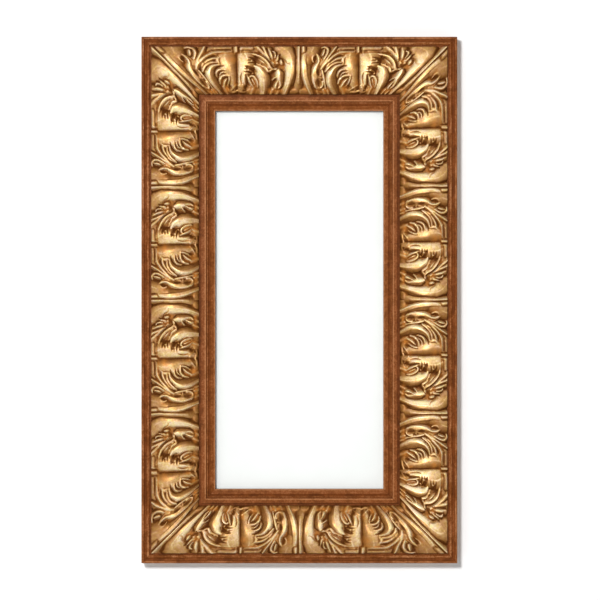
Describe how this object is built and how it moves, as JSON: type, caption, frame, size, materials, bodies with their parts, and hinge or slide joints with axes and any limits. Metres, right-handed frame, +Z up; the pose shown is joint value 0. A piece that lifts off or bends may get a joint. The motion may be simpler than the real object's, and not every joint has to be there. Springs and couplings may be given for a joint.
{
  "type": "picture frame",
  "caption": "Upright picture frame of mitred stained moulding with gilded acanthus relief, glazing, a backing held by turn buttons, and strap hangers with D-rings.",
  "frame": {"origin": "centre of the frame's outline on the plane of the wall, which the bumpers touch", "axes": "+Z up the frame, +X to the right seen from the front, +Y from the face to the wall"},
  "size_m": [0.381, 0.0414, 0.635],
  "materials": {
    "stained_wood": "red-brown stain, satin",
    "gilded_relief": "antique gold over composition, dark in the hollows",
    "clear_acrylic": "clear, polished",
    "white_card": "plain white",
    "foam_board": "white paper over foam",
    "zinc_plated_steel": "zinc plate",
    "bumper_rubber": "matt"
  },
  "bodies": {
    "frame": {"top_rail": "stained_wood", "bottom_rail": "stained_wood", "left_stile": "stained_wood", "right_stile": "stained_wood", "top_relief": "gilded_relief", "bottom_relief": "gilded_relief", "left_relief": "gilded_relief", "right_relief": "gilded_relief", "corner_nails": "zinc_plated_steel", "glazing": "clear_acrylic", "insert_card": "white_card", "backing_board": "foam_board", "turn_button_screws": "zinc_plated_steel", "left_hanger": "zinc_plated_steel", "right_hanger": "zinc_plated_steel", "hanger_screws": "zinc_plated_steel", "left_bumper": "bumper_rubber", "right_bumper": "bumper_rubber"},
    "top_button": {"turn_button_top": "zinc_plated_steel"},
    "bottom_button": {"turn_button_bottom": "zinc_plated_steel"},
    "left_upper_button": {"turn_button_left_upper": "zinc_plated_steel"},
    "left_lower_button": {"turn_button_left_lower": "zinc_plated_steel"},
    "right_upper_button": {"turn_button_right_upper": "zinc_plated_steel"},
    "right_lower_button": {"turn_button_right_lower": "zinc_plated_steel"},
    "left_d_ring": {"left_ring": "zinc_plated_steel"},
    "right_d_ring": {"right_ring": "zinc_plated_steel"}
  },
  "joints": [
    {"name": "top_button_turn", "type": "hinge", "parent": "frame", "child": "top_button", "pos_m": [0, -0.005, 0.24595], "axis": [0, 1, 0], "continuous": true},
    {"name": "bottom_button_turn", "type": "hinge", "parent": "frame", "child": "bottom_button", "pos_m": [0, -0.005, -0.24595], "axis": [0, 1, 0], "continuous": true},
    {"name": "left_upper_button_turn", "type": "hinge", "parent": "frame", "child": "left_upper_button", "pos_m": [-0.11895, -0.005, 0.15], "axis": [0, 1, 0], "continuous": true},
    {"name": "left_lower_button_turn", "type": "hinge", "parent": "frame", "child": "left_lower_button", "pos_m": [-0.11895, -0.005, -0.15], "axis": [0, 1, 0], "continuous": true},
    {"name": "right_upper_button_turn", "type": "hinge", "parent": "frame", "child": "right_upper_button", "pos_m": [0.11895, -0.005, 0.15], "axis": [0, 1, 0], "continuous": true},
    {"name": "right_lower_button_turn", "type": "hinge", "parent": "frame", "child": "right_lower_button", "pos_m": [0.11895, -0.005, -0.15], "axis": [0, 1, 0], "continuous": true},
    {"name": "left_ring_swing", "type": "hinge", "parent": "frame", "child": "left_d_ring", "pos_m": [-0.1485, -0.0026, 0.1065], "axis": [1, 0, 0], "range_deg": [0, 180]},
    {"name": "right_ring_swing", "type": "hinge", "parent": "frame", "child": "right_d_ring", "pos_m": [0.1485, -0.0026, 0.1065], "axis": [1, 0, 0], "range_deg": [0, 180]}
  ]
}
